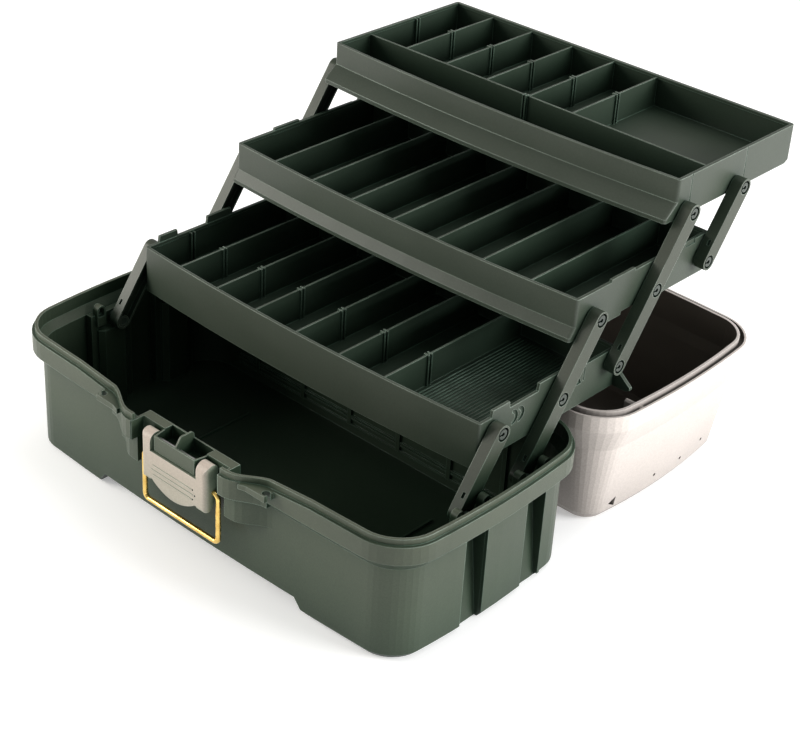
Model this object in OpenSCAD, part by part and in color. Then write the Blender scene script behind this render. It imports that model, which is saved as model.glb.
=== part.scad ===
// Cantilever tackle box: a tub, a lid and three trays that fan out on parallel arms.
// Shown open, lid turned over behind the tub. X runs along the length, Y to the back, Z up.
// The origin is the middle of the tub's underside.

/* [Tub and lid] */
// Overall length over the rim, mm
box_l = 467; // [460:1:475]
// Overall width over the rim, without the latch, mm
box_w = 242; // [240:1:246]
// Corner radius of the rim in plan, mm
rim_r = 36; // [30:1:40]
// How far the ends bow outward, mm
end_bow = 7; // [5:0.5:8]
// How far the front and back bow outward, mm
side_bow = 6.5; // [5:0.5:8]
// Height of the ledge that the lid's skirt sits on, mm
ledge_z = 114.5; // [114:0.1:115]
// Height of the tub's lip, mm
lip_z = 120; // [119:0.1:121]
// Wall thickness of tub and lid, mm
shell_t = 2.8; // [2.4:0.1:3.2]
// Height of the hinge axis, mm
hinge_z = 117.2; // [117:0.1:117.5]
// Distance of the hinge axis behind the middle of the tub, mm
hinge_y = 123.7; // [123.6:0.1:124.2]

/* [Trays] */
// Half length of a tray, mm
tray_hl = 195.5; // [190:0.5:195.5]
// Wall thickness of a tray, mm
tray_t = 2.2; // [1.8:0.1:2.4]
// Thickness of a divider, mm
divider_t = 1.8; // [1.4:0.1:2]
// Height of the skirt under a tray's floor, mm
tray_skirt = 3.6; // [3.2:0.1:4]
// How far a tray's front bows outward, mm
tray_bow = 8; // [6:0.5:8]

/* [Arms] */
// Distance between an arm's pivots, mm
arm_r = 69.8; // [69:0.1:70.5]
// Angle of the open arms above the horizontal, degrees
open_deg = 54.5; // [54:0.5:55]
// Distance between neighbouring pivots on the tub and on a tray, mm
pivot_pitch = 74.5; // [74:0.1:75]
// Width of an arm, mm
arm_w = 15.5; // [14:0.5:16]
// Thickness of an arm, mm
arm_t = 10.5; // [9:0.5:10.5]
// Radius of a pivot pin, mm
pin_r = 3.5; // [3:0.1:4]
// Radial running clearance of a pin in its arm, mm
pin_gap = 0.05; // [0.03:0.01:0.1]

/* [Latch] */
// Half width of the latch plate, mm
latch_hw = 38.8; // [38:0.1:39.5]
// Radius of the bail's wire, mm
wire_r = 2.2; // [1.8:0.1:2.4]
// Length of the bail below its pivot, mm
bail_l = 46.5; // [44:0.5:48]

/* [Handle] */
// Half length of the handle between its pivots, mm
handle_hl = 76; // [70:1:80]

/* [Hidden] */
$fn = 48;
e = 0.01;
plan_n = 9;
rim_hl = box_l / 2 - end_bow;
rim_hw = box_w / 2 - side_bow;
ledge_w = 2.7;
neck = 8.5;
floor_t = 3;
arm_x0 = 196.9;
arm_x1 = arm_x0 + arm_t;
block_x = arm_x1 + 5.6;
channel_x = 209;
block_top = 102;
tub_pivot_y = -19;
tub_pivot_z = 96;
bore_r = pin_r + pin_gap;
loose_r = pin_r + 0.25;
socket_r = 5;
socket_t = 3.3;
latch_y = -126.2;
latch_z = 102.4;
latch_pin_r = 1.6;
bail_y = -125.6;
bail_z = 82;
bail_hw = 44.4;
bend_r = 5;
hinge_r = 2.6;
hinge_pin_r = 1.2;
hinge_x = 140;
hinge_wall_y = rim_hw + side_bow * (1 - pow(hinge_x / rim_hl, 2));
lid_edge_z = 2 * hinge_z - ledge_z - 0.7;
lid_bead_z = lid_edge_z + 2.2;
handle_z = 6.2;
handle_y = 30;
padlock_x = 97;
padlock_y = -124.4;
padlock_r = 3.4;

function pivot(i, j) = [tub_pivot_y + i * pivot_pitch + j * arm_r * cos(open_deg),
                        tub_pivot_z + j * arm_r * sin(open_deg)];
function arc_pts(c, r, from) = [for (i = [0 : plan_n])
    c + r * [cos(from + 90 * i / plan_n), sin(from + 90 * i / plan_n)]];
function side_pts(a, b) = [for (i = [1 : plan_n - 1]) a + (b - a) * i / plan_n];
function box_pts(hl, hw, r) = concat(
    side_pts([-hl + r, -hw], [hl - r, -hw]), arc_pts([hl - r, -hw + r], r, -90),
    side_pts([hl, -hw + r], [hl, hw - r]), arc_pts([hl - r, hw - r], r, 0),
    arc_pts([-hl + r, hw - r], r, 90),
    side_pts([-hl, hw - r], [-hl, -hw + r]), arc_pts([-hl + r, -hw + r], r, 180));
function bowed(p, hl, hw) = [
    p.x + sign(p.x) * end_bow * (1 - pow(p.y / hw, 2)) * pow(p.x / hl, 2),
    p.y + sign(p.y) * side_bow * (1 - pow(p.x / hl, 2)) * pow(p.y / hw, 2)];

green = [0.36, 0.39, 0.33];
beige = [0.91, 0.88, 0.85];
sand = [0.80, 0.73, 0.69];
brass = [0.88, 0.72, 0.33];
steel = [0.72, 0.72, 0.70];

// ---- plan outlines ---------------------------------------------------------
module plan(inset) {
    hl = rim_hl - inset;
    hw = rim_hw - inset;
    polygon([for (p = box_pts(hl, hw, rim_r - inset)) bowed(p, hl, hw)]);
}

module slab(inset, z0, z1) translate([0, 0, z0]) linear_extrude(z1 - z0) plan(inset);

module taper(inset0, z0, inset1, z1) hull() {
    translate([0, 0, z0]) linear_extrude(e) plan(inset0);
    translate([0, 0, z1 - e]) linear_extrude(e) plan(inset1);
}

// A shape drawn in the Y-Z plane and pushed along X
module along_x(x0, x1) translate([x0, 0, 0]) rotate([90, 0, 90]) linear_extrude(x1 - x0) children();

module rod_x(x0, x1, r, y, z) translate([x0, y, z]) rotate([0, 90, 0]) cylinder(h = x1 - x0, r = r);

module both_ends() {
    children();
    mirror([1, 0, 0]) children();
}

// ---- tub -------------------------------------------------------------------
bay_hw = 52;
band_y0 = -120;
band_y1 = -110.6;
band_z = 109.3;
box_hw = 26.2;
box_y = -132.6;

// 1 in the middle of the front, falling smoothly to 0 beyond far
function swell(x, near, far) = abs(x) < near ? 1 : abs(x) > far ? 0
    : (1 + cos(180 * (abs(x) - near) / (far - near))) / 2;

module bulge_plan(depth, root, near, far) polygon(concat(
    [for (i = [-16 : 16]) [i * far / 16, -root - (depth - root) * swell(i * far / 16, near, far)]],
    [[far, -100], [-far, -100]]));

// Takes the top off the front between the corners, down to a shallow dip
module front_dip(z, outer, inner) translate([0, -100, 0]) rotate([90, 0, 0]) linear_extrude(60)
    polygon([[-138, z + 0.05], [-96, z - outer], [-66, z - inner], [66, z - inner], [96, z - outer],
        [138, z + 0.05], [138, z + 20], [-138, z + 20]]);

module tub_outside() {
    taper(neck + 4, 0, neck, 5);
    slab(neck, 5 - e, 88);
    taper(neck, 88 - e, 0, 98);
    difference() {
        union() {
            slab(0, 98 - e, ledge_z);
            translate([0, 0, 91.5]) linear_extrude(ledge_z - 91.5) bulge_plan(133.6, 119, 56, 92);
            both_ends() padlock_shelf();
        }
        front_dip(ledge_z, 3.4, 4.8);
    }
    difference() {
        union() {
            slab(ledge_w, 104, lip_z);
            translate([0, 0, 104]) linear_extrude(lip_z - 104) bulge_plan(131.2, 116.6, 58, 97);
        }
        front_dip(lip_z, 2.8, 5);
    }
    translate([0, 0, 67]) linear_extrude(25) bulge_plan(126.5, 111, 60, 92);
}

module tub_hollow() {
    slab(neck + shell_t, floor_t, 101);
    taper(neck + shell_t, 101 - e, ledge_w + shell_t, 108);
    slab(ledge_w + shell_t, 108 - e, lip_z + 1);
    translate([0, 0, 94]) linear_extrude(40) bulge_plan(128.4, 113.8, 58, 97);
}

module front_arch() {
    hull() for (s = [-1, 1]) {
        translate([s * 128, -140, -1]) cube([e, 42, e]);
        translate([s * 116, -140, 14]) cube([e, 40, e]);
    }
}

// The wall's inner face steps in round the outside channel below a pivot
module pivot_block(y) {
    translate([block_x, y - 24, floor_t - e]) cube([220 - block_x, 45, block_top - floor_t]);
    difference() {
        translate([channel_x - shell_t, y - 18, floor_t - e]) cube([222 - channel_x + shell_t, 31, 84]);
        for (s = [-1, 1]) translate([channel_x - shell_t, y - 2.5 + s * 15.5, -1]) rotate([0, 0, 45])
            translate([-3, -3, 0]) cube([6, 6, 100]);
    }
}

module flute(y) translate([0, y + 10, 0]) rotate([90, 0, 0]) linear_extrude(25)
    polygon([[channel_x + 9.5, -1], [channel_x, 80], [block_x + shell_t, 91], [245, 91], [245, -1]]);

// Snap clip beside a pivot, an upright arch on the block
module snap_clip(y) difference() {
    union() {
        rod_x(block_x - 3.6, block_x + 3, 4.8, y, 107);
        translate([block_x - 3.6, y - 4.8, block_top - 10]) cube([6.6, 9.6, 15]);
    }
    rod_x(block_x - 5, block_x + 4, 3, y, 107);
    translate([block_x - 5, y - 3, block_top - 1]) cube([9, 6, 6]);
}

module box_plan(inset) polygon([
    [-box_hw + 2.2 + inset, box_y + inset], [box_hw - 2.2 - inset, box_y + inset],
    [box_hw - inset, band_y0], [box_hw - inset, band_y1 - inset],
    [-box_hw + inset, band_y1 - inset], [-box_hw + inset, band_y0]]);

// The double box in front of the band, with the latch's pin across it
module latch_box() difference() {
    translate([0, 0, 94.2]) linear_extrude(14) box_plan(0);
    translate([0, 0, 96]) linear_extrude(20) box_plan(1.4);
}

module latch_box_tab() along_x(-0.8, 0.8) hull() {
    translate([-123.5, 112.6]) circle(r = 3.4);
    translate([-115, 112.6]) circle(r = 3.4);
    translate([-131.4, 95]) square([20.4, 12]);
}

// The flat-topped wall behind the latch and the pocket's side walls
module band() difference() {
    union() {
        translate([-bay_hw, band_y0, 70]) cube([2 * bay_hw, band_y1 - band_y0, band_z - 70]);
        both_ends() translate([bay_hw - 1, -133, 91.5]) cube([2.6, 133 + band_y1, band_z - 91.5]);
    }
    translate([-bay_hw + 1.6, band_y0 + 2.4, 60]) cube([2 * bay_hw - 3.2, band_y1 - band_y0 - 4.6, 47]);
}

module padlock_shelf() difference() {
    translate([0, 0, 105.5]) linear_extrude(ledge_z - 105.5)
        polygon([[101, -116], [99.6, -129.2], [79, -129.2], [72, -131], [72, -116]]);
    translate([padlock_x, padlock_y, 100]) cylinder(h = 20, r = padlock_r);
}

module base_knuckle() {
    for (x = [-21, 12]) {
        rod_x(x, x + 9, hinge_r, hinge_y, hinge_z);
        along_x(x, x + 9) polygon([[hinge_wall_y - 2.5, 99], [hinge_wall_y + 0.4, 99],
            [hinge_y + hinge_r - 0.2, hinge_z], [hinge_y - 0.6, hinge_z + 1.6],
            [hinge_wall_y - 2.5, ledge_z]]);
    }
}

// Raised beads on the floor and the inside of the back wall
module inside_beads() {
    for (s = [-1, 1]) translate([s * 113.5 - 0.9, -70, floor_t - 1]) cube([1.8, 127, 2.6]);
    for (z = [12.2, 18.6, 21.4]) intersection() {
        slab(neck + 1, z, z + 1.6);
        translate([-176, 100, z]) cube([352, 20, 2]);
        difference() {
            slab(neck + 1, z - 1, z + 3);
            slab(neck + shell_t + 1.6, z - 2, z + 4);
        }
    }
    intersection() {
        slab(neck + 1, floor_t, 92);
        for (x = [-150 : 60 : 150]) translate([x - 2.4, 102.6, 12.2]) cube([4.8, 10, 78]);
    }
}

module tub() color(green) difference() {
    union() {
        difference() {
            tub_outside();
            tub_hollow();
            // the rim opens in the middle of the front for the latch
            translate([-bay_hw, -150, 60]) cube([2 * bay_hw, 150 + band_y0, 80]);
            translate([-bay_hw, -150, ledge_z - 8]) cube([2 * bay_hw, 50, 30]);
            for (y = [tub_pivot_y, tub_pivot_y + pivot_pitch]) both_ends() flute(y);
            front_arch();
        }
        band();
        intersection() {
            slab(neck + 1, 4, 20);
            translate([-132, -130, 4]) cube([264, 34, 13]);
        }
        latch_box();
        latch_box_tab();
        for (y = [tub_pivot_y, tub_pivot_y + pivot_pitch]) both_ends() {
            difference() {
                pivot_block(y);
                flute(y);
            }
            snap_clip(y + 16);
            snap_clip(y - 15);
        }
        for (s = [-1, 1]) translate([s * hinge_x, 0, 0]) base_knuckle();
        inside_beads();
    }
    front_arch();
    both_ends() translate([0, 0, 96]) linear_extrude(40) intersection() {
        box_plan(1.4);
        translate([0.8, -140]) square([40, 40]);
    }
    for (y = [tub_pivot_y, tub_pivot_y + pivot_pitch]) both_ends()
        rod_x(block_x - 1, block_x + 6.2, pin_r, y, tub_pivot_z);
    rod_x(-30, 30, latch_pin_r, latch_y, latch_z);
    for (s = [-1, 1]) rod_x(s * hinge_x - 25, s * hinge_x + 25, hinge_pin_r, hinge_y, hinge_z);
    both_ends() translate([padlock_x, padlock_y, 60]) cylinder(h = 60, r = padlock_r);
}

// ---- lid, turned over behind the tub ---------------------------------------
recess_hl = 92;
recess_y0 = -24;
recess_y1 = 34;
recess_z = 14;
lid_wall = 18.5;

module lid_bulge() mirror([0, 1, 0]) bulge_plan(133.6, 119, 56, 92);

module lid_plan(inset) mirror([0, 1, 0]) plan(inset);

module lid_slab(inset, z0, z1) translate([0, 0, z0]) linear_extrude(z1 - z0) lid_plan(inset);

module lid_taper(inset0, z0, inset1, z1) mirror([0, 1, 0]) taper(inset0, z0, inset1, z1);

module lid_outside() {
    lid_taper(lid_wall + 9, 0, lid_wall + 3.4, 3);
    lid_taper(lid_wall + 3.4, 3 - e, lid_wall + 0.8, 8.6);
    lid_taper(lid_wall, 8.6 - e, neck, 81);
    lid_taper(neck, 81 - e, 0, 104);
    lid_slab(0, 104 - e, lid_edge_z);
    translate([0, 0, 98]) linear_extrude(lid_edge_z - 98) lid_bulge();
}

module lid_hollow() {
    lid_taper(lid_wall + 6.4, 3, lid_wall + 3.4, 9);
    lid_taper(lid_wall + 3.4, 9 - e, neck + shell_t, 81);
    lid_taper(neck + shell_t, 81 - e, 8.7, 92);
    lid_slab(8.7, 92 - e, lid_bead_z + 1);
}

module lid_groove() difference() {
    lid_slab(2, lid_bead_z - lip_z + ledge_z - 2.8, lid_bead_z + 1);
    lid_slab(6.2, 90, lid_bead_z + 2);
}

module lid_lug() {
    translate([209.8, -66.5, 105]) cube([18, 5, 10]);
    along_x(209.8, 228) polygon([[-66.5, 105], [-61.5, 105], [-61.5, 116.4], [-63, 117.8],
        [-65, 117.8], [-66.5, 116.4]]);
}

module lid_knuckle() {
    rod_x(-11.6, 11.6, hinge_r, hinge_y, hinge_z);
    along_x(-11.6, 11.6) polygon([[2 * hinge_y - hinge_wall_y + 2.5, 103],
        [2 * hinge_y - hinge_wall_y - 0.4, 103], [hinge_y - hinge_r + 0.2, hinge_z],
        [hinge_y + 0.6, hinge_z + 1.6], [2 * hinge_y - hinge_wall_y + 2.5, lid_edge_z]]);
}

module lid_end_openings() {
    along_x(205, 240) polygon([[-73, 14.5], [-64.5, 20], [-64.5, 9.5]]);
    for (p = [[-12, 19], [28, 18], [62, 22]]) rod_x(205, 240, 1.6, p.x, p.y);
}

module handle_space() {
    translate([-recess_hl, recess_y0, -1]) cube([2 * recess_hl, recess_y1 - recess_y0, recess_z + 1]);
}

module lid() color(beige) difference() {
    union() {
        translate([0, 2 * hinge_y, 0]) {
            difference() {
                union() {
                    lid_outside();
                    lid_slab(6.2, 100, lid_bead_z);
                }
                lid_hollow();
                difference() {
                    lid_groove();
                    lid_slab(-5, 0, lid_edge_z - 9.5);
                }
                translate([-86, 106, lid_edge_z - 4]) cube([172, 40, 10]);
            }
            both_ends() lid_lug();
            intersection() {
                lid_slab(neck + 1, 0, 60);
                translate([-recess_hl - 2.4, recess_y0 - 2.4, 2]) cube([2 * recess_hl + 4.8,
                    recess_y1 - recess_y0 + 4.8, recess_z + 0.4]);
            }
            for (s = [-1, 1]) translate([s * 152 - 19, -46, 2]) cube([38, 92, 3]);
        }
        for (s = [-1, 1]) translate([s * hinge_x, 0, 0]) lid_knuckle();
        // the catch that the bail hooks over
        translate([0, 2 * hinge_y, 0]) along_x(-34, 34)
            polygon([[132.5, 107.5], [147, 103.5], [147, 107], [141, 110], [132.5, 116]]);
    }
    translate([0, 2 * hinge_y, 0]) {
        handle_space();
        both_ends() lid_end_openings();
        both_ends() rod_x(handle_hl - 6, recess_hl + 0.8, 2, handle_y - 8, handle_z);
    }
    for (s = [-1, 1]) rod_x(s * hinge_x - 14, s * hinge_x + 14, hinge_pin_r + pin_gap, hinge_y, hinge_z);
}

// ---- carry handle, folded flat in the lid's top ----------------------------
module handle() color(green) translate([0, 2 * hinge_y, handle_z]) difference() {
    union() {
        both_ends() translate([handle_hl - 5, -12, -5.4]) cube([10, 34, 10.4]);
        both_ends() rod_x(handle_hl - 5, handle_hl + 5, 5.2, handle_y - 8, 0);
        translate([-handle_hl - 5, -20, -5.4]) cube([2 * handle_hl + 10, 17, 10.4]);
    }
    for (i = [-3 : 3]) translate([i * 16 - 6, -14, 1]) cube([12, 5, 10]);
    both_ends() rod_x(handle_hl - 6, handle_hl + 6, 2 + pin_gap, handle_y - 8, 0);
}

module handle_pins() color(steel) both_ends()
    rod_x(handle_hl - 4, recess_hl + 0.8, 2, 2 * hinge_y + handle_y - 8, handle_z);

// ---- trays -----------------------------------------------------------------
function tray_pts(y0, y1, r) = [for (p = box_pts(tray_hl, (y1 - y0) / 2, r))
    [p.x, p.y + (y0 + y1) / 2 - (p.y < 0 ? tray_bow * (1 - pow(p.x / tray_hl, 2)) : 0)]];

module tray_slab(y0, y1, z0, z1, inset = 0) translate([0, 0, z0]) linear_extrude(z1 - z0)
    intersection() {
        polygon(tray_pts(y0 + inset, y1 - inset, 2.6));
        translate([-tray_hl + inset, y0 - 40]) square([2 * (tray_hl - inset), y1 - y0 + 80]);
    }

module tray_shell(y0, y1, z0, z1, reach = 0, drop = 0, rise = 0) difference() {
    union() {
        tray_slab(y0, y1, z0, z1);
        if (reach > 0) {
            tray_slab(y0 - reach, y0 + 30, z0, z0 + drop);
            hull() {
                tray_slab(y0 - reach, y0 + 30, z0 + drop - 1, z0 + drop);
                tray_slab(y0, y0 + 30, z0 + drop, z0 + rise);
            }
        }
    }
    tray_slab(y0, y1, z0 + tray_skirt + tray_t, z1 - 3, tray_t);
    tray_slab(y0, y1, z1 - 3 - e, z1 + 1, tray_t + 0.8);
    tray_slab(y0 - reach, y1, z0 - 1, z0 + tray_skirt, tray_t);
}

module divider(x, y0, y1, z0, z1) translate([x - divider_t / 2, y0, z0])
    cube([divider_t, y1 - y0, z1 - z0]);

// A pair of ribs that hold a loose partition
module slot_ribs(x, y, z0, z1, w = 5.4) for (s = [-1, 1])
    translate([x - w / 2, y + s * 1.9 - 0.7, z0]) cube([w, 1.4, z1 - z0]);

module boss(p) both_ends() rod_x(tray_hl - 1, tray_hl + 0.9, 5.6, p.x, p.y);

module pin_bore(p) both_ends() rod_x(tray_hl - 1.6, tray_hl + 2, pin_r, p.x, p.y);

bay = 49.2;

lower_y0 = pivot(0, 1).x - 15.4;
lower_y1 = pivot(0, 1).x + 160.2;
lower_z1 = pivot(0, 1).y + 10.1;
lower_z0 = pivot(0, 1).y - 26.7;

// Everything behind a tray's bowed front
module front_side(y0) polygon(concat(
    [for (i = [-12 : 12], x = i * (tray_hl + 3) / 12) [x, y0 - tray_bow * (1 - pow(x / tray_hl, 2))]],
    [[tray_hl + 3, y0 + 300], [-tray_hl - 3, y0 + 300]]));

module side_pad(y0, y1, z0, z1) both_ends() along_x(tray_hl - 2.6, tray_hl)
    polygon([[y0, z0], [y1, z0], [y1 - 1.5, z1], [y0 + 1.5, z1]]);

// A gusset behind each rear corner that stands over the lid's lug
module gusset() both_ends() translate([0, lower_y1 + 3.4, 0]) rotate([90, 0, 0]) linear_extrude(3.5)
    polygon([[190, 126.4], [190, 148], [196, 143.6], [200.5, 139], [212.5, 129.4], [212.5, 127],
        [209.5, 124.9], [197, 124.9]]);

module lower_tray() color(green) difference() {
    union() {
        tray_shell(lower_y0, lower_y1, lower_z0, lower_z1);
        difference() {
            tray_slab(lower_y0, lower_y0 + 40, lower_z0 - 6.6, lower_z0 + 1);
            translate([0, tray_t, lower_z0 - 8]) linear_extrude(20) front_side(lower_y0);
        }
        intersection() {
            tray_slab(lower_y0, lower_y1, lower_z0, lower_z1, tray_t - 0.4);
            union() {
                for (k = [-3 : 2]) {
                    divider(k * bay - 2.5, lower_y0 - 10, lower_y1, lower_z0 + 4, lower_z1 - 2);
                    slot_ribs(k * bay - 2.5, lower_y0 + 52, lower_z0 + 4, lower_z1 - 1.4);
                }
                slot_ribs(-tray_hl + 3, lower_y0 + 52, lower_z0 + 4, lower_z1 - 1.4);
                for (i = [0 : 26]) translate([2 * bay + 2 + i * 3.6, lower_y0 - 6, lower_z0 + 4])
                    cube([1.2, lower_y1 - lower_y0 - 2, 2.5]);
            }
        }
        for (p = [pivot(0, 1), pivot(1, 1), pivot(2, 1)]) boss(p);
        side_pad(20, 43, lower_z1 - 4, lower_z1 + 6);
        side_pad(77, 108, lower_z1 - 4, lower_z1 + 7);
        gusset();
    }
    for (p = [pivot(0, 1), pivot(1, 1), pivot(2, 1)]) pin_bore(p);
    both_ends() for (y = [46, 54]) difference() {
        rod_x(tray_hl - 1.3, tray_hl + 1, 7, y, 152);
        rod_x(tray_hl - 1.3, tray_hl + 1, 4.4, y - 1, 152);
        translate([tray_hl - 2, y - 8, 140]) cube([4, 8, 24]);
    }
    both_ends() along_x(tray_hl - 1.4, tray_hl + 1) polygon([[127.4, 147], [135, 147], [131, 154]]);
    both_ends() translate([tray_hl - 1, 137.4, 148]) cube([4, 1.2, 13]);
}

middle_y0 = pivot(1, 2).x - 19.6;
middle_y1 = pivot(1, 2).x + 161.4;
middle_z1 = pivot(1, 2).y + 20.7;
middle_z0 = pivot(1, 2).y - 15.8;

module middle_tray() color(green) difference() {
    union() {
        tray_shell(middle_y0, middle_y1, middle_z0, middle_z1, 6, 3.4, 11.4);
        intersection() {
            tray_slab(middle_y0, middle_y1, middle_z0, middle_z1, tray_t - 0.4);
            for (k = [-3 : 3])
                divider(k * bay - 1, middle_y0 - 10, middle_y1, middle_z0 + 4, middle_z1 - 2);
        }
        for (p = [pivot(1, 2), pivot(2, 2), pivot(3, 2)]) boss(p);
        side_pad(160, 194, middle_z1 - 4, middle_z1 + 2.4);
    }
    for (p = [pivot(1, 2), pivot(2, 2), pivot(3, 2)]) pin_bore(p);
    both_ends() along_x(tray_hl - 0.9, tray_hl + 1)
        polygon([[264, 226], [279, 226], [277, 232], [266, 232]]);
    // room for the lower tray's tabs when the trays are folded
    for (p = [[122.2, 148], [179.2, 213]]) both_ends()
        translate([tray_hl - 3.4, p.x, middle_z0 - 1]) cube([5, p.y - p.x, 4.3]);
}

upper_y0 = pivot(2, 3).x - 10.7;
upper_y1 = pivot(2, 3).x + 162.4;
upper_z1 = pivot(2, 3).y + 29.2;
upper_z0 = pivot(2, 3).y - 6.4;

module upper_tray() color(green) difference() {
    union() {
        difference() {
            tray_shell(upper_y0, upper_y1, upper_z0, upper_z1, 14, 3.6, 15);
            along_x(-200, 200) polygon([[upper_y1 - 9, upper_z0 - 1], [upper_y1 + 1, upper_z0 - 1],
                [upper_y1 + 1, upper_z0 + 4]]);
        }
        intersection() {
            tray_slab(upper_y0, upper_y1, upper_z0, upper_z1, tray_t - 0.4);
            union() {
                translate([-tray_hl, upper_y0 + 44, upper_z0 + 4]) cube([2 * tray_hl, divider_t, 29.6]);
                for (k = [-3 : 1]) {
                    divider(k * bay, upper_y0 + 44, upper_y1, upper_z0 + 4, upper_z1 - 2);
                    slot_ribs(k * bay, upper_y0 + 109, upper_z0 + 4, upper_z1 - 1);
                }
                slot_ribs(-tray_hl + 3, upper_y0 + 109, upper_z0 + 4, upper_z1 - 1);
                for (s = [-1, 1]) translate([s * 1.6 - 3.1, upper_y0, upper_z0 + 4]) {
                    translate([0, -9, 0]) cube([1.2, 5, 30.4]);
                    translate([0, 41.4, 0]) cube([1.2, 5, 30.4]);
                }
            }
        }
        for (p = [pivot(2, 3), pivot(3, 3)]) boss(p);
    }
    for (p = [pivot(2, 3), pivot(3, 3)]) pin_bore(p);
    // moulding seams on the ends
    both_ends() for (y = [259, 340]) translate([tray_hl - 0.5, y, upper_z0 + 7]) cube([2, 0.9, 40]);
}

// ---- arms ------------------------------------------------------------------
// An arm starts at pivot p and spans n pivot distances at the open angle
module arm_outline(n, w) {
    translate([0, -w / 2]) square([n * arm_r, w]);
    circle(r = w / 2);
    translate([n * arm_r, 0]) circle(r = w / 2);
}

module arm_frame(p) translate([0, p.x, p.y]) rotate([open_deg, 0, 0]) translate([arm_x0, 0, 0])
    rotate([90, 0, 90]) children();

module arm_right(p, n, loose) color(green) arm_frame(p) difference() {
    linear_extrude(arm_t) arm_outline(n, arm_w);
    difference() {
        translate([0, 0, -1]) linear_extrude(arm_t - 4.4) arm_outline(n, arm_w - 4);
        for (i = [0 : n]) translate([i * arm_r, 0, -2]) cylinder(h = arm_t, r = socket_r + 0.4);
    }
    for (i = [0 : n]) translate([i * arm_r, 0, 0]) {
        translate([0, 0, -1]) cylinder(h = arm_t + 2, r = loose[i] ? loose_r : bore_r);
        translate([0, 0, arm_t - socket_t]) cylinder(h = socket_t + 1, r = socket_r + 1.1);
    }
    for (s = [-1, 1]) translate([12, s * (arm_w / 2 - 0.8) - 1, arm_t / 2]) cube([5, 2, 2.4]);
}

module front_arm_right() arm_right(pivot(0, 0), 1, [false, false]);
module front_arm_left() mirror([1, 0, 0]) front_arm_right();
module long_arm_right() arm_right(pivot(1, 0), 2, [false, true, true]);
module long_arm_left() mirror([1, 0, 0]) long_arm_right();
module rear_arm_right() arm_right(pivot(2, 1), 2, [false, false, true]);
module rear_arm_left() mirror([1, 0, 0]) rear_arm_right();
module upper_arm_right() arm_right(pivot(3, 2), 1, [false, false]);
module upper_arm_left() mirror([1, 0, 0]) upper_arm_right();

// ---- pins ------------------------------------------------------------------
module snap_head(x0, x1, p) difference() {
    rod_x(x0, x1, 4.4, p.x, p.y);
    rod_x(x0 + 0.6, x1 + 1, 1.7, p.x, p.y);
    translate([x0 + 0.6, p.x - 6, p.y - 0.8]) cube([4, 6, 1.6]);
}

module tray_pin(p) both_ends() {
    rod_x(tray_hl - 1.6, arm_x1 - socket_t + 0.4, pin_r, p.x, p.y);
    snap_head(arm_x1 - socket_t + 0.3, arm_x1 - 0.4, p);
}

module tub_pin(p) both_ends() {
    rod_x(arm_x0 + 0.5, block_x + 6.2, pin_r, p.x, p.y);
    rod_x(arm_x1 + 0.4, block_x - 0.3, 4.8, p.x, p.y);
}

module tub_pivot_pins() color(green) for (i = [0, 1]) tub_pin(pivot(i, 0));
module lower_tray_pivot_pins() color(green) for (i = [0 : 2]) tray_pin(pivot(i, 1));
module middle_tray_pivot_pins() color(green) for (i = [1 : 3]) tray_pin(pivot(i, 2));
module upper_tray_pivot_pins() color(green) for (i = [2, 3]) tray_pin(pivot(i, 3));

module hinge_pins() color(steel) for (s = [-1, 1])
    rod_x(s * hinge_x - 21, s * hinge_x + 21, hinge_pin_r, hinge_y, hinge_z);

// ---- latch -----------------------------------------------------------------
module latch_pin() color(steel)
    rod_x(-latch_hw + 1.5, latch_hw - 1.5, latch_pin_r, latch_y, latch_z);

// Height and extra length of each raised line on the plate
grip_lines = [[71, 3], [75.6, 5.6], [80.2, 3]];

// The latch's plan, with its front corners rounded
module latch_plan() {
    r = 4.5;
    translate([-latch_hw, -134.2 + r]) square([2 * latch_hw, 20]);
    translate([-latch_hw + r, -134.2]) square([2 * (latch_hw - r), 20]);
    for (s = [-1, 1]) translate([s * (latch_hw - r), -134.2 + r]) circle(r = r);
}

module latch_plate() color(sand) difference() {
    union() {
        translate([0, -131.6, 0]) rotate([90, 0, 0]) linear_extrude(2.6)
            polygon(concat([[30, 93], [-30, 93], [-30, 68], [-25, 66.5]],
                [for (i = [-8 : 8]) [i * 3, 57.5 + 8 * pow(i / 8, 2)]], [[25, 66.5], [30, 68]]));
        intersection() {
            both_ends() along_x(latch_hw - 11.4, latch_hw) {
                polygon([[-134.2, 100.4], [-126.2, 105], [-120.8, 101], [-121, 78], [-126.4, 69.5],
                    [-128.8, 65.6], [-131, 65], [-133.4, 65], [-134.2, 67]]);
                translate([latch_y, latch_z]) circle(r = 5.6);
                intersection() {
                    translate([latch_y, 100.2]) circle(r = 8);
                    translate([-140, 90]) square([140 + latch_y, 30]);
                }
            }
            translate([0, 0, 60]) linear_extrude(60) latch_plan();
        }
        for (l = grip_lines) translate([-21 - l.y, -134.6, l.x]) cube([39 + 2 * l.y, 2, 0.9]);
    }
    for (l = grip_lines)
        translate([20.4 + l.y, -133, l.x + 0.5]) rotate([90, 0, 0]) cylinder(h = 4, r = 0.9);
    rod_x(-latch_hw - 1, latch_hw - 1.2, latch_pin_r + pin_gap, latch_y, latch_z);
    both_ends() rod_x(latch_hw - 7, latch_hw + 1, wire_r + pin_gap, bail_y, bail_z);
}

// A quarter turn of the bail's wire about a point of its plane
module wire_bend(x, z, from) translate([x, bail_y, z]) rotate([90, 0, 0]) rotate([0, 0, from])
    rotate_extrude(angle = 90) translate([bend_r, 0]) circle(r = wire_r);

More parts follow.
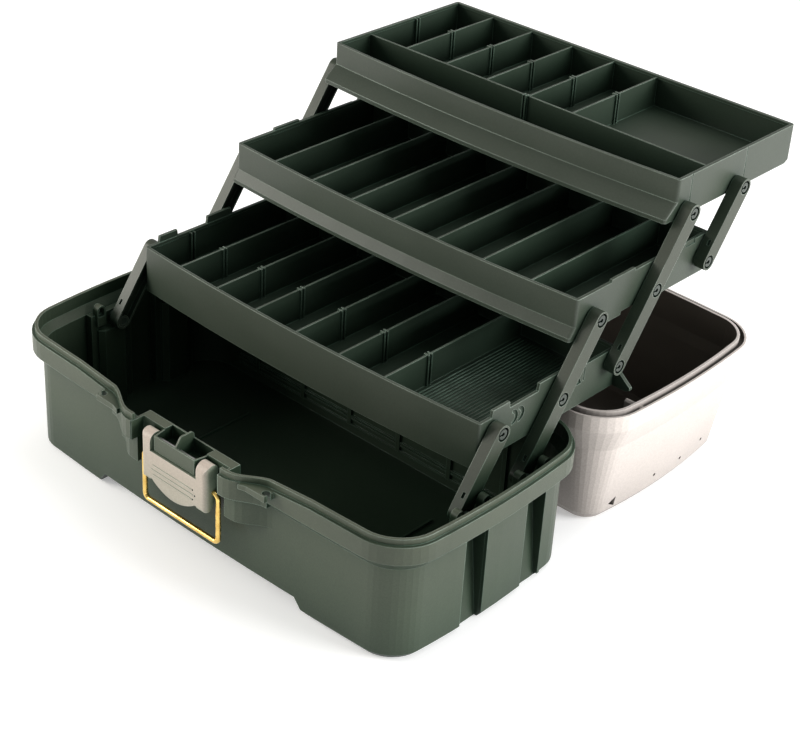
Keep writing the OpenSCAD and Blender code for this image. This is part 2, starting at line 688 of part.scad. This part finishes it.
module latch_bail() color(brass) {
    foot = bail_z - bail_l;
    both_ends() {
        rod_x(latch_hw - 6, bail_hw - bend_r, wire_r, bail_y, bail_z);
        wire_bend(bail_hw - bend_r, bail_z - bend_r, 0);
        translate([bail_hw, bail_y, foot + bend_r]) cylinder(h = bail_l - 2 * bend_r, r = wire_r);
        wire_bend(bail_hw - bend_r, foot + bend_r, -90);
    }
    rod_x(bend_r - bail_hw, bail_hw - bend_r, wire_r, bail_y, foot);
}

tub();
lid();
lower_tray();
middle_tray();
upper_tray();
front_arm_right();
front_arm_left();
long_arm_right();
long_arm_left();
rear_arm_right();
rear_arm_left();
upper_arm_right();
upper_arm_left();
tub_pivot_pins();
lower_tray_pivot_pins();
middle_tray_pivot_pins();
upper_tray_pivot_pins();
hinge_pins();
latch_pin();
latch_plate();
latch_bail();
handle();
handle_pins();
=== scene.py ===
"""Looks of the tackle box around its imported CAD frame."""

import bpy
from mathutils import Matrix, Vector

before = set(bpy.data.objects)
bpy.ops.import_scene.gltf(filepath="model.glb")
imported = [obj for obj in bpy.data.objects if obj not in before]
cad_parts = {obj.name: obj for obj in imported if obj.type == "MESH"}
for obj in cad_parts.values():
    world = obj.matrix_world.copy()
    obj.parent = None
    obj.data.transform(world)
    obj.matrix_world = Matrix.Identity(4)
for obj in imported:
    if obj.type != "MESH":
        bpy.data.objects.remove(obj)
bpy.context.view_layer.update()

# ---- places on the lid, which lies upturned behind the tub (metres) ----------
# middle of the rim, just under its top
LID_RIM_CENTRE = (0.0, 0.2474, 0.118)
# the handle's recess, which starts at the floor
RECESS_CENTRE_Y = 0.2524
RECESS_HALF_X = 0.0925
RECESS_HALF_Y = 0.0295
RECESS_TOP_Z = 0.0145

# ---- texture sizes: noise scales are per metre, distances in metres ------------
CLOUD_SCALE = 9.0
FLOW_SCALE = 38.0
DIMPLE_SCALE = 620.0
GRAIN_SCALE = 1500.0
GRAIN_DEPTH = 0.0003
DRAW_LINE_SCALE = 240.0
DRAW_LINE_DEPTH = 0.0002
TARNISH_SCALE = 70.0
# rubbed edges are painted lighter, partly as scuffs and partly as painted highlight
RUB_HIGHLIGHT_RADIUS = 0.0011
WIRE_EDGE = 0.0003
PLASTIC_SPECULAR = 0.28

# ---- colours -------------------------------------------------------------------
# painted shade tint: the green is made cooler and bluer where painted shade falls inside the tub
# and trays
HOLLOW_SHADE_TINT = (0.38, 1.0, 0.72)
SHELL_GREEN = ((0.090, 0.099, 0.070), (0.070, 0.079, 0.056))
TRAY_GREEN = ((0.057, 0.068, 0.052), (0.045, 0.055, 0.041))
ARM_GREEN = ((0.052, 0.059, 0.043), (0.042, 0.049, 0.035))
PIN_GREEN = ((0.05, 0.06, 0.05), (0.035, 0.043, 0.036))
# lighter edge colours: partly scuffs, partly painted highlight on the edges
WORN_HIGHLIGHT_GREEN = (0.36, 0.42, 0.36)
WORN_HIGHLIGHT_PIN = (0.16, 0.18, 0.16)
BEIGE = ((0.67, 0.608, 0.565), (0.61, 0.552, 0.51))
# near-white edge colour of the beige lid: partly scuffs, partly painted highlight
WORN_HIGHLIGHT_BEIGE = (0.95, 0.92, 0.89)
# painted shade: dark brown painted over the beige on the lid's inner faces and groove
LID_PAINTED_SHADE = ((0.18, 0.155, 0.13), (0.13, 0.112, 0.092))
SAND = ((0.49, 0.415, 0.355), (0.44, 0.37, 0.315))
# lighter edge colour of the sand latch: partly scuffs, partly painted highlight
WORN_HIGHLIGHT_SAND = (0.76, 0.69, 0.63)
BRASS = ((0.90, 0.64, 0.20), (0.66, 0.42, 0.11))
STEEL = ((0.62, 0.61, 0.59), (0.45, 0.44, 0.42))
FLOOR_GREYS = ((0.88, 0.88, 0.88), (0.86, 0.86, 0.86))

# ---- camera and stage ------------------------------------------------------------
CAMERA_PLACE = Vector((0.9094, -0.9173, 0.9181))
CAMERA_FORWARD = Vector((-0.5586, 0.6462, -0.5200))
CAMERA_RIGHT = Vector((0.7338, 0.6772, 0.0534))
SENSOR_WIDTH_MM = 36.0
LENS_MM = 81.64
FAR_CLIP = 50.0
FLOOR_HALF = 12.0
FLOOR_Z = -0.0005
FLOOR_GLOW = 0.32
WORLD_STRENGTH = 0.42
LIGHT_TARGET = (0.0, 0.1, 0.1)
# name, place, size, watts, colour
LIGHTS = (
    ("key", (2.1, 1.0, 0.9), (1.4, 1.0), 64.0, (1.0, 1.0, 1.0)),
    ("top", (0.2, 0.9, 2.4), (1.6, 1.6), 18.0, (1.0, 1.0, 1.0)),
    ("front_fill", (-1.3, -0.95, 0.7), (1.0, 0.8), 26.0, (1.0, 0.97, 0.90)),
)


# ---- node helpers ------------------------------------------------------------------
class Graph:
    """A material's node tree with short calls for the nodes used here."""

    def __init__(self, name):
        self.material = bpy.data.materials.new(name)
        self.material.use_nodes = True
        self.tree = self.material.node_tree
        self.shader = self.tree.nodes["Principled BSDF"]
        place = self.add("ShaderNodeTexCoord")
        self.coords = place.outputs["Object"]
        self.facing = place.outputs["Normal"]

    def add(self, kind, **settings):
        node = self.tree.nodes.new(kind)
        for key, value in settings.items():
            setattr(node, key, value)
        return node

    def link(self, source, target):
        self.tree.links.new(source, target)

    def feed(self, value, socket):
        """Links a socket, or sets a number or colour."""
        if isinstance(value, bpy.types.NodeSocket):
            self.link(value, socket)
        elif isinstance(value, tuple):
            socket.default_value = value + (1.0,)
        else:
            socket.default_value = value

    def noise(self, scale, detail, stretch=(1.0, 1.0, 1.0)):
        mapping = self.add("ShaderNodeMapping")
        mapping.inputs["Scale"].default_value = stretch
        self.link(self.coords, mapping.inputs["Vector"])
        node = self.add("ShaderNodeTexNoise")
        node.inputs["Scale"].default_value = scale
        node.inputs["Detail"].default_value = detail
        self.link(mapping.outputs["Vector"], node.inputs["Vector"])
        return node.outputs["Fac"]

    def ramp(self, source, low, high, at=(0.35, 0.65)):
        node = self.add("ShaderNodeValToRGB")
        for element, position, colour in zip(node.color_ramp.elements, at, (low, high)):
            element.position = position
            element.color = colour + (1.0,)
        self.link(source, node.inputs["Fac"])
        return node.outputs["Color"]

    def mix(self, factor, a, b, blend="MIX"):
        node = self.add("ShaderNodeMix", data_type="RGBA", blend_type=blend)
        self.feed(factor, node.inputs[0])
        self.feed(a, node.inputs[6])
        self.feed(b, node.inputs[7])
        return node.outputs[2]

    def scale_colour(self, colour, factor):
        """A colour times a number, channel by channel."""
        grey = self.add("ShaderNodeCombineColor")
        for channel in ("Red", "Green", "Blue"):
            self.link(factor, grey.inputs[channel])
        return self.mix(1.0, colour, grey.outputs["Color"], "MULTIPLY")

    def math(self, operation, a, b=0.0):
        node = self.add("ShaderNodeMath", operation=operation)
        self.feed(a, node.inputs[0])
        self.feed(b, node.inputs[1])
        return node.outputs[0]

    def dot(self, a, b):
        node = self.add("ShaderNodeVectorMath", operation="DOT_PRODUCT")
        self.link(a, node.inputs[0])
        self.link(b, node.inputs[1])
        return node.outputs["Value"]

    def map_range(self, source, from_low, from_high, to_low, to_high):
        node = self.add("ShaderNodeMapRange")
        self.link(source, node.inputs["Value"])
        node.inputs["From Min"].default_value = from_low
        node.inputs["From Max"].default_value = from_high
        node.inputs["To Min"].default_value = to_low
        node.inputs["To Max"].default_value = to_high
        return node.outputs["Result"]

    def rounded_normal(self, radius):
        bevel = self.add("ShaderNodeBevel", samples=4)
        bevel.inputs["Radius"].default_value = radius
        return bevel.outputs["Normal"]

    def edge_mask(self, radius, low, high):
        """1 where the surface turns within a radius, 0 on the flats."""
        plain = self.add("ShaderNodeNewGeometry").outputs["Normal"]
        return self.map_range(self.dot(self.rounded_normal(radius), plain), high, low, 0.0, 1.0)

    def painted_hollow_shade(self, shade_reach, least):
        """Painted shade from ambient occlusion: 1 in the open, falling to least inside hollows.
        """
        cover = self.add("ShaderNodeAmbientOcclusion", samples=8)
        cover.inputs["Distance"].default_value = shade_reach
        return self.map_range(cover.outputs["AO"], 0.25, 0.95, least, 1.0)

    def painted_lid_shade_mask(self):
        """Painted shade mask: 1 on the lid's inner faces and groove, 0 on its outside, rim and
        handle recess.
        """
        inward = self.add("ShaderNodeVectorMath", operation="SUBTRACT")
        inward.inputs[0].default_value = LID_RIM_CENTRE
        self.link(self.coords, inward.inputs[1])
        turned_in = self.dot(inward.outputs["Vector"], self.facing)
        inner = self.map_range(turned_in, -0.0006, 0.0012, 0.0, 1.0)
        parts = self.add("ShaderNodeSeparateXYZ")
        self.link(self.coords, parts.inputs[0])
        off_x = self.math("ABSOLUTE", parts.outputs["X"])
        off_y = self.math("ABSOLUTE", self.math("SUBTRACT", parts.outputs["Y"], RECESS_CENTRE_Y))
        near_x = self.math("LESS_THAN", off_x, RECESS_HALF_X)
        near_y = self.math("LESS_THAN", off_y, RECESS_HALF_Y)
        low = self.math("LESS_THAN", parts.outputs["Z"], RECESS_TOP_Z)
        recess = self.math("MULTIPLY", self.math("MULTIPLY", near_x, near_y), low)
        return self.math("MULTIPLY", inner, self.math("SUBTRACT", 1.0, recess))

    def bump(self, layers, distance, edge_radius):
        """Stacks (height, strength) layers on a softly rounded edge normal."""
        normal = self.rounded_normal(edge_radius)
        for height, strength in layers:
            node = self.add("ShaderNodeBump")
            node.inputs["Distance"].default_value = distance
            node.inputs["Strength"].default_value = strength
            self.link(height, node.inputs["Height"])
            self.link(normal, node.inputs["Normal"])
            normal = node.outputs["Normal"]
        self.link(normal, self.shader.inputs["Normal"])


# ---- materials -----------------------------------------------------------------------
def moulded_plastic(name, tones, rub_and_highlight_colour, roughness, grain=0.2, edge=0.0007,
                    darkest_shade=0.16, shade_reach=0.13, painted_inner_shade=None, rub_and_highlight_strength=0.6):
    """Injection-moulded plastic: fine spark grain, faint flow clouds, rubbed edges painted
    lighter as scuffs and painted highlight, painted shade darkening and tinting hollows.
    """
    g = Graph(name)
    colour, shade = tones
    clouds = g.noise(CLOUD_SCALE, 3.0, (0.6, 1.0, 1.4))
    flow = g.noise(FLOW_SCALE, 4.0, (0.35, 1.0, 1.0))
    fine = g.noise(GRAIN_SCALE, 2.0)
    dimple = g.noise(DIMPLE_SCALE, 2.0)
    base = g.ramp(clouds, shade, colour)
    base = g.mix(g.map_range(flow, 0.3, 0.7, 0.0, 0.35), base, colour)
    base = g.scale_colour(base, g.map_range(dimple, 0.35, 0.65, 0.94, 1.05))
    patchy = g.map_range(flow, 0.35, 0.6, 0.35, 1.0)
    # edges painted lighter: partly scuffs, partly painted highlight along the rounded edges
    rub_and_highlight = g.math("MULTIPLY", g.edge_mask(RUB_HIGHLIGHT_RADIUS, 0.90, 0.995), patchy)
    base = g.mix(g.math("MULTIPLY", rub_and_highlight, rub_and_highlight_strength), base, rub_and_highlight_colour)
    # painted shade: ambient occlusion darkens the colour in hollows, between parts and near the
    # floor
    painted_shade = g.painted_hollow_shade(shade_reach, darkest_shade)
    # on the lid, painted shade: its inner faces and groove are painted dark brown
    if painted_inner_shade:
        base = g.mix(g.painted_lid_shade_mask(), base, g.ramp(clouds, painted_inner_shade[1], painted_inner_shade[0]))
    else:
        # painted shade tint: cooler, bluer green where the painted shade falls
        base = g.mix(painted_shade, g.mix(1.0, base, HOLLOW_SHADE_TINT, "MULTIPLY"), base)
    # painted shade: the colour is multiplied by the occlusion factor
    g.link(g.scale_colour(base, painted_shade), g.shader.inputs["Base Color"])
    rough = g.map_range(clouds, 0.3, 0.7, roughness - 0.05, roughness + 0.06)
    g.link(g.math("SUBTRACT", rough, g.math("MULTIPLY", rub_and_highlight, 0.12)), g.shader.inputs["Roughness"])
    g.shader.inputs["Specular IOR Level"].default_value = PLASTIC_SPECULAR
    g.bump([(dimple, 0.5 * grain), (fine, grain)], GRAIN_DEPTH, edge)
    return g.material


def drawn_metal(name, tones, roughness):
    """Wire or rod: fine draw lines along X, light tarnish."""
    g = Graph(name)
    colour, shade = tones
    lines = g.noise(DRAW_LINE_SCALE, 3.0, (0.04, 1.0, 1.0))
    tarnish = g.noise(TARNISH_SCALE, 4.0)
    g.link(g.ramp(tarnish, shade, colour, (0.3, 0.62)), g.shader.inputs["Base Color"])
    g.shader.inputs["Metallic"].default_value = 1.0
    rough = g.map_range(lines, 0.3, 0.7, roughness - 0.06, roughness + 0.1)
    g.link(rough, g.shader.inputs["Roughness"])
    g.bump([(lines, 0.25)], DRAW_LINE_DEPTH, WIRE_EDGE)
    return g.material


def make_materials():
    # each material sets its painted shade in hollows (darkest factor and reach) and its edges
    # painted lighter as scuffs and painted highlight
    return {
        "shell": moulded_plastic("green_shell", SHELL_GREEN, WORN_HIGHLIGHT_GREEN, 0.42, grain=0.35,
                                 darkest_shade=0.22, shade_reach=0.2, rub_and_highlight_strength=0.75),
        "tray": moulded_plastic("green_tray", TRAY_GREEN, WORN_HIGHLIGHT_GREEN, 0.40, grain=0.25,
                                darkest_shade=0.42, rub_and_highlight_strength=0.75),
        "arm": moulded_plastic("green_arm", ARM_GREEN, WORN_HIGHLIGHT_GREEN, 0.38, edge=0.0005, rub_and_highlight_strength=0.75),
        "pin": moulded_plastic("dark_pin", PIN_GREEN, WORN_HIGHLIGHT_PIN, 0.36, edge=0.0003),
        # the lid's inner faces get painted shade in dark brown
        "lid": moulded_plastic("beige_shell", BEIGE, WORN_HIGHLIGHT_BEIGE, 0.44, grain=0.35,
                               darkest_shade=0.45, painted_inner_shade=LID_PAINTED_SHADE),
        "latch": moulded_plastic("sand_latch", SAND, WORN_HIGHLIGHT_SAND, 0.38, edge=0.0006, darkest_shade=0.3),
        "brass": drawn_metal("brass_wire", BRASS, 0.22),
        "steel": drawn_metal("steel_rod", STEEL, 0.3),
    }


def dress_frame(materials):
    """Gives every carried-over CAD node its material."""
    dress = {
        "tub": "shell", "lid": "lid", "handle": "tray",
        "lower_tray": "tray", "middle_tray": "tray", "upper_tray": "tray",
        "tub_pivot_pins": "pin", "lower_tray_pivot_pins": "pin",
        "middle_tray_pivot_pins": "pin", "upper_tray_pivot_pins": "pin",
        "hinge_pins": "steel", "latch_pin": "steel", "handle_pins": "steel",
        "latch_plate": "latch", "latch_bail": "brass",
    }
    for name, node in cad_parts.items():
        key = "arm" if "_arm_" in name else dress[name]
        node.data.materials.clear()
        node.data.materials.append(materials[key])


# ---- stage -----------------------------------------------------------------------------
def link_object(name, data):
    made = bpy.data.objects.new(name, data)
    bpy.context.scene.collection.objects.link(made)
    return made


def add_camera():
    """The photograph's viewing angle."""
    forward = CAMERA_FORWARD.normalized()
    right = (CAMERA_RIGHT - forward * CAMERA_RIGHT.dot(forward)).normalized()
    up = right.cross(forward)
    data = bpy.data.cameras.new("camera")
    data.sensor_width = SENSOR_WIDTH_MM
    data.lens = LENS_MM
    data.clip_end = FAR_CLIP
    camera = link_object("camera", data)
    turn = Matrix((right, up, -forward)).transposed()
    camera.matrix_world = Matrix.Translation(CAMERA_PLACE) @ turn.to_4x4()
    bpy.context.scene.camera = camera


def add_area(name, place, size, power, colour):
    data = bpy.data.lights.new(name, "AREA")
    data.shape = "RECTANGLE"
    data.size, data.size_y = size
    data.energy = power
    data.color = colour
    light = link_object(name, data)
    light.location = place
    aim = Vector(LIGHT_TARGET) - Vector(place)
    light.rotation_euler = aim.to_track_quat("-Z", "Y").to_euler()


def add_floor():
    """A pale floor that glows a little, like a light table."""
    g = Graph("stage_floor")
    pale, dim = FLOOR_GREYS
    g.link(g.ramp(g.noise(3.0, 2.0), dim, pale), g.shader.inputs["Base Color"])
    g.shader.inputs["Emission Color"].default_value = (1.0, 1.0, 1.0, 1.0)
    g.shader.inputs["Emission Strength"].default_value = FLOOR_GLOW
    g.shader.inputs["Roughness"].default_value = 0.7
    g.shader.inputs["Specular IOR Level"].default_value = 0.1
    mesh = bpy.data.meshes.new("stage_floor")
    half = FLOOR_HALF
    corners = [(-half, -half, 0.0), (half, -half, 0.0), (half, half, 0.0), (-half, half, 0.0)]
    mesh.from_pydata(corners, [], [(0, 1, 2, 3)])
    mesh.materials.append(g.material)
    floor = link_object("stage_floor", mesh)
    floor.location.z = FLOOR_Z


def add_world():
    world = bpy.data.worlds.new("studio")
    bpy.context.scene.world = world
    world.use_nodes = True
    back = world.node_tree.nodes["Background"]
    back.inputs["Color"].default_value = (1.0, 1.0, 1.0, 1.0)
    back.inputs["Strength"].default_value = WORLD_STRENGTH


def light_stage():
    add_world()
    bpy.context.scene.view_settings.view_transform = "Standard"
    for light in LIGHTS:
        add_area(*light)


dress_frame(make_materials())
add_camera()
add_floor()
light_stage()
